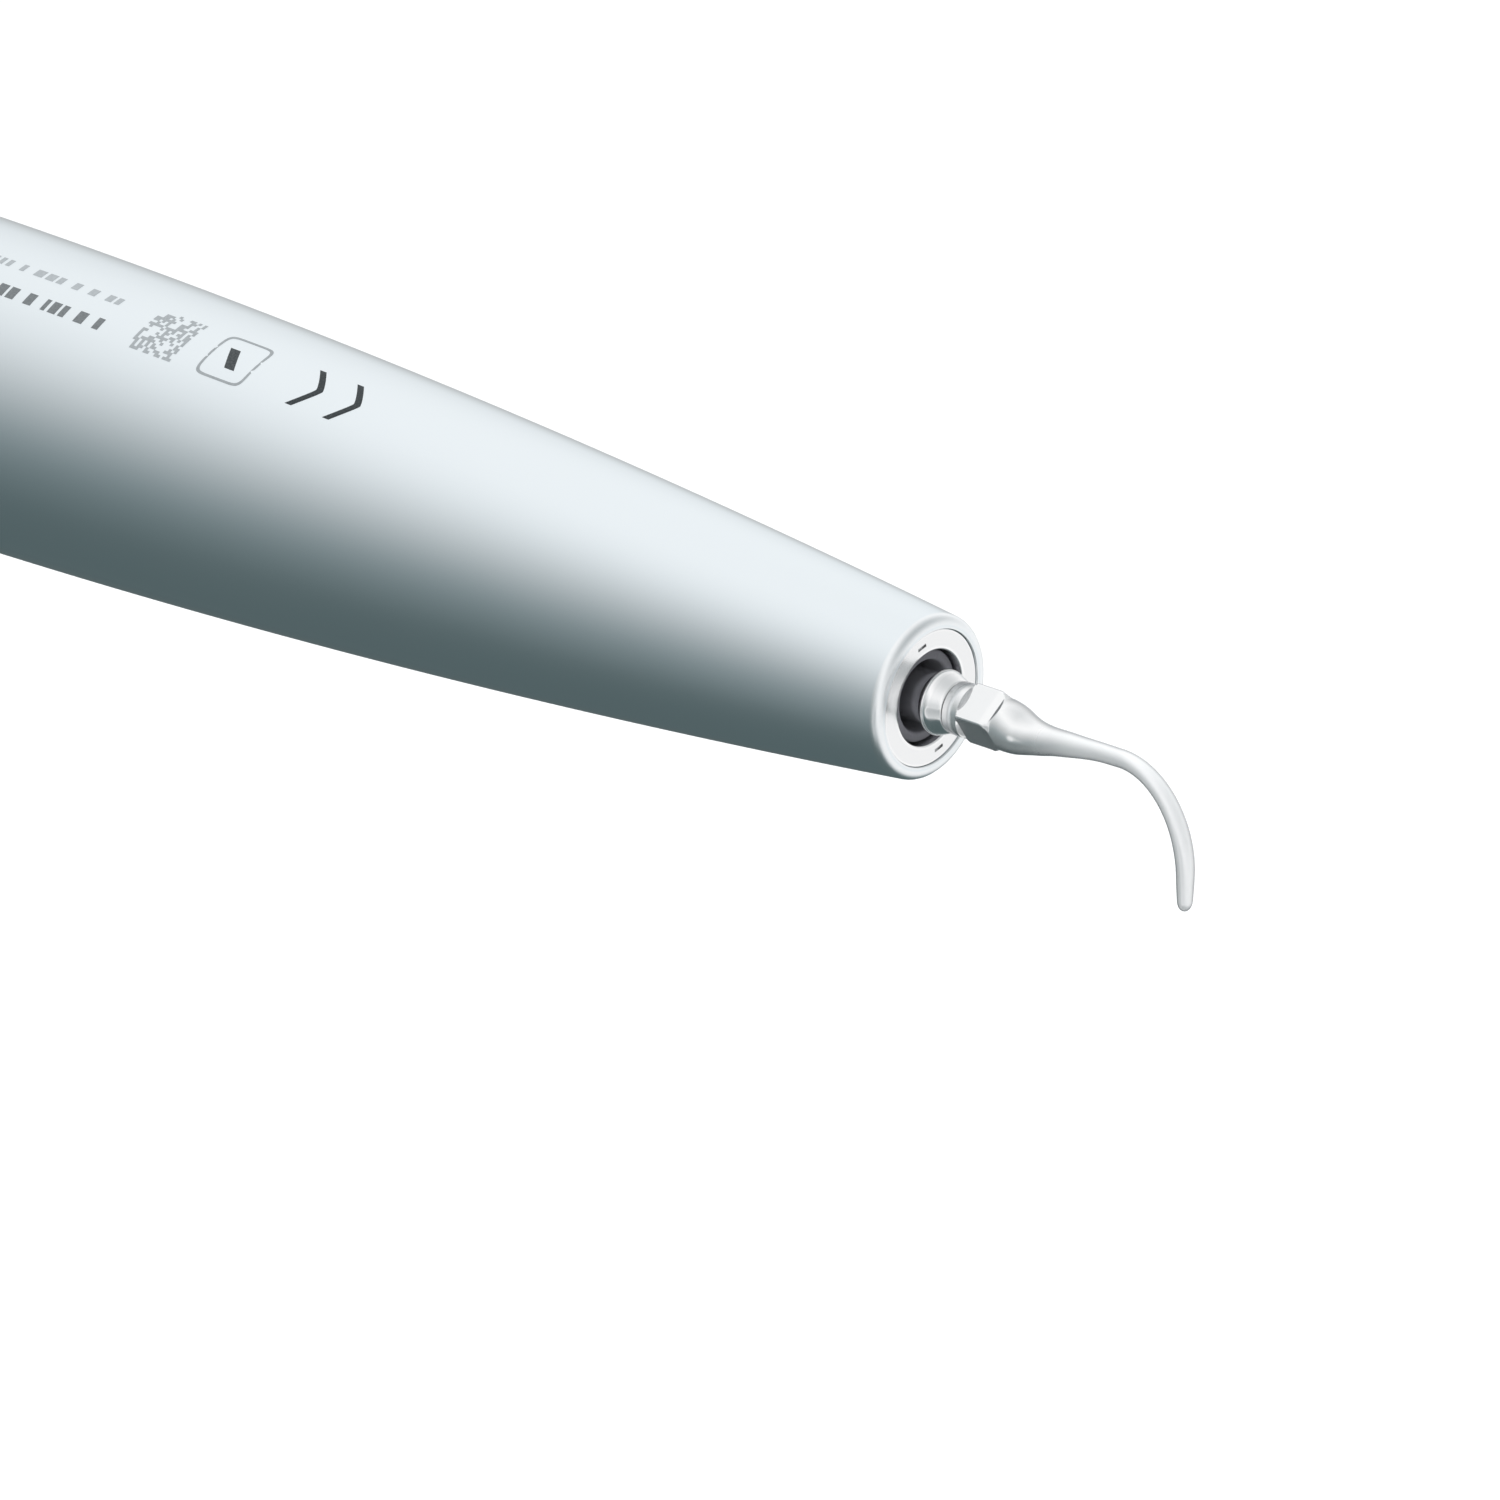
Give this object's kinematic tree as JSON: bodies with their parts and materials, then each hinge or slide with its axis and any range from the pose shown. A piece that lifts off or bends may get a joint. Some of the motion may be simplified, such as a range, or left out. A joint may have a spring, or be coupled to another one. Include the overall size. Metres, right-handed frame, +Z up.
{
  "type": "air scaler handpiece",
  "caption": "Slim tapered metal handpiece, driven by air, that shakes a small hooked tip for scraping; a ring at the back turns to set its power and the tip comes off.",
  "frame": {"origin": "centre of the hose connector's flat rear face", "axes": "+X along the handpiece towards the tip, +Z up, so the tip hooks down to -Z; +Y makes it right-handed"},
  "size_m": [0.1456, 0.0182, 0.0182],
  "materials": {
    "satin_titanium": "satin, finely blasted",
    "polished_steel": "polished",
    "machined_steel": "as turned",
    "dark_rubber": "matt",
    "bronze": "sintered, matt",
    "grey_polymer": "moulded"
  },
  "bodies": {
    "housing": {"air_tube": "machined_steel", "bulkhead": "machined_steel", "bulkhead_nut": "machined_steel", "chassis_tube": "machined_steel", "collar_grub_screw": "polished_steel", "detent_spring": "machined_steel", "exhaust_filter": "bronze", "exhaust_tube": "machined_steel", "front_damper": "dark_rubber", "front_plug": "machined_steel", "handle_sleeve": "satin_titanium", "hose_stub": "polished_steel", "nose_bush": "machined_steel", "nose_ring": "polished_steel", "nose_seal": "dark_rubber", "rear_collar": "satin_titanium", "rear_plug": "machined_steel", "ring_seal_front": "dark_rubber", "ring_seal_rear": "dark_rubber", "spacer_sleeve": "machined_steel", "spigot_seal": "dark_rubber", "valve_housing": "machined_steel", "valve_seat": "grey_polymer", "water_tube": "machined_steel"},
    "power_ring": {"power_ring": "satin_titanium", "valve_disc": "grey_polymer", "drive_pin": "machined_steel"},
    "detent_ball": {"detent_ball": "polished_steel"},
    "rear_damper": {"rear_damper": "dark_rubber"},
    "shaft": {"vibration_shaft": "polished_steel", "rotor_stop_rear": "machined_steel", "rotor_stop_front": "machined_steel", "shaft_air_seal": "dark_rubber"},
    "rotor": {"rotor_ring": "bronze"},
    "tip": {"scaler_tip": "polished_steel"}
  },
  "joints": [
    {"name": "power_select", "type": "hinge", "parent": "housing", "child": "power_ring", "pos_m": [0.0285, 0, 0], "axis": [1, 0, 0], "range_deg": [-30, 30]},
    {"name": "ball_travel", "type": "slide", "parent": "housing", "child": "detent_ball", "axis": [1, 0, 0], "range_m": [-0.0003, 0], "stiffness_N_per_m": 300, "springref_m": 0.001, "deforming": ["detent_spring"]},
    {"name": "shaft_pitch", "type": "hinge", "parent": "housing", "child": "rear_damper", "pos_m": [0.074, 0, 0], "axis": [0, 1, 0], "range_deg": [-0.2, 0.2], "stiffness_Nm_per_rad": 2},
    {"name": "shaft_yaw", "type": "hinge", "parent": "rear_damper", "child": "shaft", "pos_m": [0.074, 0, 0], "axis": [0, 0, 1], "range_deg": [-0.2, 0.2], "stiffness_Nm_per_rad": 2},
    {"name": "rotor_spin", "type": "hinge", "parent": "shaft", "child": "rotor", "pos_m": [0.092, 0, 0], "axis": [1, 0, 0], "continuous": true},
    {"name": "tip_release", "type": "slide", "parent": "shaft", "child": "tip", "axis": [1, 0, 0], "range_m": [0, 0.01]}
  ]
}
